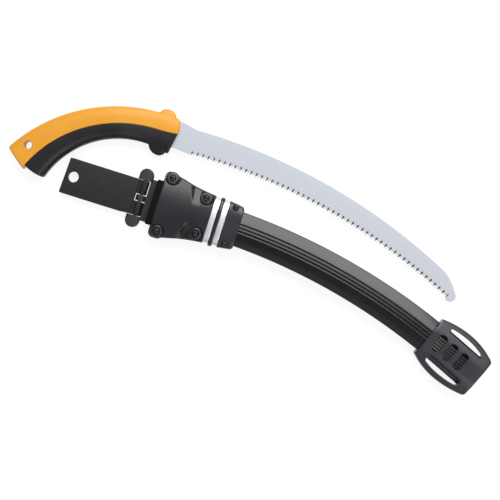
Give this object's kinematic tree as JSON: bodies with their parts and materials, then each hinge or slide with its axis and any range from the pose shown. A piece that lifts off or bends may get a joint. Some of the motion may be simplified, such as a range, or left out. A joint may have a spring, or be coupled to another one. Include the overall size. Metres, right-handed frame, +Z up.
{
  "type": "curved pruning saw with belt scabbard",
  "caption": "Curved pull saw with a moulded pistol grip, lying beside its curved belt scabbard with a hinged belt hanger, roller throat, polished bands and a strap end.",
  "frame": {"origin": "on the surface the pair lies on, under the middle of their common box", "axes": "+X from the handle and the belt hanger towards the blade's tip and the strap end, +Y from the scabbard towards the saw, +Z up out of the shown face"},
  "size_m": [0.5571, 0.1951, 0.026],
  "materials": {
    "blade_steel": "fine ground, satin",
    "handle_orange": "moulded, satin",
    "grip_rubber": "soft moulded, matte",
    "core_nylon": "moulded",
    "pin_steel": "turned",
    "throat_plastic": "moulded, satin",
    "lip_rubber": "matte",
    "roller_rubber": "matte",
    "screw_black": "black oxide",
    "insert_brass": "knurled",
    "hanger_plastic": "pebbled, matte",
    "band_aluminium": "polished",
    "sheath_plastic": "moulded, glossy",
    "end_plastic": "moulded, satin"
  },
  "bodies": {
    "scabbard": {"throat_front": "throat_plastic", "throat_back": "throat_plastic", "throat_screws": "screw_black", "throat_inserts": "insert_brass", "mouth_lip": "lip_rubber", "roller_axles": "pin_steel", "hinge_bracket": "hanger_plastic", "bracket_screws": "screw_black", "hinge_pin": "pin_steel", "band_ring_mouth": "band_aluminium", "spacer_ring": "throat_plastic", "band_ring_tip": "band_aluminium", "collar_front": "throat_plastic", "collar_back": "throat_plastic", "collar_screws": "screw_black", "collar_nuts": "pin_steel", "sheath_front": "sheath_plastic", "sheath_back": "sheath_plastic", "strap_end": "end_plastic"},
    "hanger": {"belt_hanger": "hanger_plastic"},
    "roller_upper": {"guide_roller_upper": "roller_rubber"},
    "roller_lower": {"guide_roller_lower": "roller_rubber"},
    "saw": {"blade": "blade_steel", "handle_core": "core_nylon", "tang_rivets": "pin_steel", "handle_back": "handle_orange", "rubber_grip": "grip_rubber"}
  },
  "joints": [
    {"name": "hanger_swing", "type": "hinge", "parent": "scabbard", "child": "hanger", "pos_m": [-0.129, -0.0012, 0.00422], "axis": [0, 1, 0], "range_deg": [-90, 90]},
    {"name": "roller_upper_spin", "type": "hinge", "parent": "scabbard", "child": "roller_upper", "pos_m": [-0.088, 0.0198, 0.015], "axis": [0, 0, 1], "continuous": true},
    {"name": "roller_lower_spin", "type": "hinge", "parent": "scabbard", "child": "roller_lower", "pos_m": [-0.088, -0.0222, 0.015], "axis": [0, 0, 1], "continuous": true},
    {"name": "saw_lift", "type": "slide", "parent": "scabbard", "child": "saw", "axis": [0, 0, 1], "range_m": [0, 0.15]}
  ]
}
